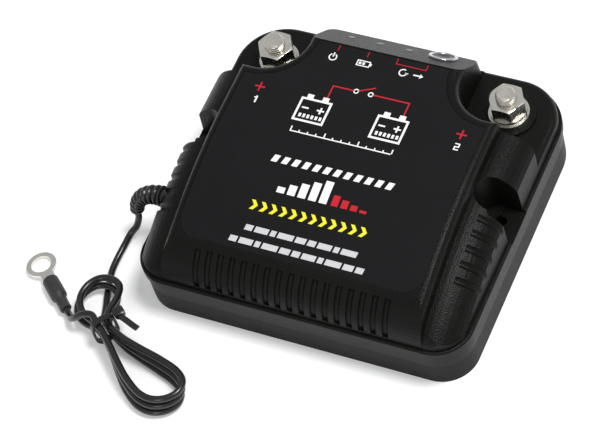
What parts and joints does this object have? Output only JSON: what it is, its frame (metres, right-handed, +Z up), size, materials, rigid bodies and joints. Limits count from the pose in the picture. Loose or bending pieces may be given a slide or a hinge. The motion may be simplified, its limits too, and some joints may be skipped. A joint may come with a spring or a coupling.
{
  "type": "battery isolator relay",
  "caption": "Electronic battery isolator relay in a domed black case with two M8 stud terminals, three indicators, a reset button and a coiled ground lead.",
  "frame": {"origin": "centre of the case's footprint on the surface it stands on, without the lead", "axes": "+X to the right across the two studs, +Y from the front arc to the indicator strip, +Z up out of the label"},
  "size_m": [0.1898, 0.1717, 0.0475],
  "materials": {
    "case_plastic": "black moulded cover with a fine spark texture",
    "base_plastic": "smoother dark grey moulded base",
    "label_film": "dark grey satin printed film with white, red and yellow marks",
    "stud_steel": "zinc plated steel",
    "copper_bar": "bare copper bar, slightly dulled",
    "contact_silver": "silver faced contact",
    "frame_steel": "plain steel",
    "bobbin_plastic": "natural nylon",
    "coil_copper": "enamelled copper winding",
    "board_green": "green solder mask",
    "part_black": "moulded component body",
    "block_green": "green terminal block",
    "sleeve_blue": "printed capacitor sleeve",
    "ribbon_grey": "grey flat ribbon",
    "led_lens": "unlit diffused lens",
    "ring_chrome": "polished bezel ring",
    "button_black": "dark dished push cap",
    "seal_rubber": "soft black seal",
    "cable_black": "black vinyl lead with a soft shine",
    "tin_plate": "tin plated copper ring"
  },
  "bodies": {
    "case": {"base_shell": "base_plastic", "gasket": "seal_rubber", "top_cover": "case_plastic", "label_panel": "label_film", "terminal_studs": "stud_steel", "flat_washers": "stud_steel", "busbar_main": "copper_bar", "busbar_aux": "copper_bar", "fixed_contacts": "contact_silver", "contactor_frame": "frame_steel", "bobbin": "bobbin_plastic", "coil_winding": "coil_copper", "return_spring": "frame_steel", "main_board": "board_green", "terminal_block": "block_green", "capacitors": "sleeve_blue", "control_chip": "part_black", "power_devices": "part_black", "display_board": "board_green", "board_ribbon": "ribbon_grey", "led_power": "led_lens", "led_charging": "led_lens", "led_override": "led_lens", "button_ring": "ring_chrome", "tact_switch": "part_black", "case_screws": "frame_steel", "strain_relief": "cable_black", "inner_lead": "cable_black", "ground_lead": "cable_black", "lead_hank": "cable_black", "lead_tail": "cable_black", "cable_tie": "part_black", "terminal_boot": "cable_black", "ring_terminal": "tin_plate"},
    "washer_main": {"lock_washer_main": "stud_steel"},
    "washer_aux": {"lock_washer_aux": "stud_steel"},
    "nut_main_body": {"nut_main": "stud_steel"},
    "nut_aux_body": {"nut_aux": "stud_steel"},
    "button": {"button_cap": "button_black"},
    "armature": {"plunger": "frame_steel", "contact_bridge": "copper_bar"}
  },
  "joints": [
    {"name": "main_nut_turn", "type": "hinge", "parent": "case", "child": "washer_main", "pos_m": [-0.049, 0.04365, 0.03], "axis": [0, 0, 1], "range_deg": [0, 1440]},
    {"name": "main_nut_rise", "type": "slide", "parent": "washer_main", "child": "nut_main_body", "axis": [0, 0, 1], "range_m": [0, 0.005]},
    {"name": "aux_nut_turn", "type": "hinge", "parent": "case", "child": "washer_aux", "pos_m": [0.049, 0.04365, 0.03], "axis": [0, 0, 1], "range_deg": [0, 1440]},
    {"name": "aux_nut_rise", "type": "slide", "parent": "washer_aux", "child": "nut_aux_body", "axis": [0, 0, 1], "range_m": [0, 0.005]},
    {"name": "button_press", "type": "slide", "parent": "case", "child": "button", "axis": [0, -0.6691, -0.7431], "range_m": [0, 0.0012], "stiffness_N_per_m": 150, "springref_m": -0.002},
    {"name": "contact_close", "type": "slide", "parent": "case", "child": "armature", "axis": [0, 0, -1], "range_m": [0, 0.0014], "stiffness_N_per_m": 200, "springref_m": -0.003, "deforming": ["return_spring"]}
  ],
  "couplings": [
    {"joint": "main_nut_turn", "follows": "main_nut_rise", "rad_per_m": 5026.5},
    {"joint": "aux_nut_turn", "follows": "aux_nut_rise", "rad_per_m": 5026.5}
  ]
}
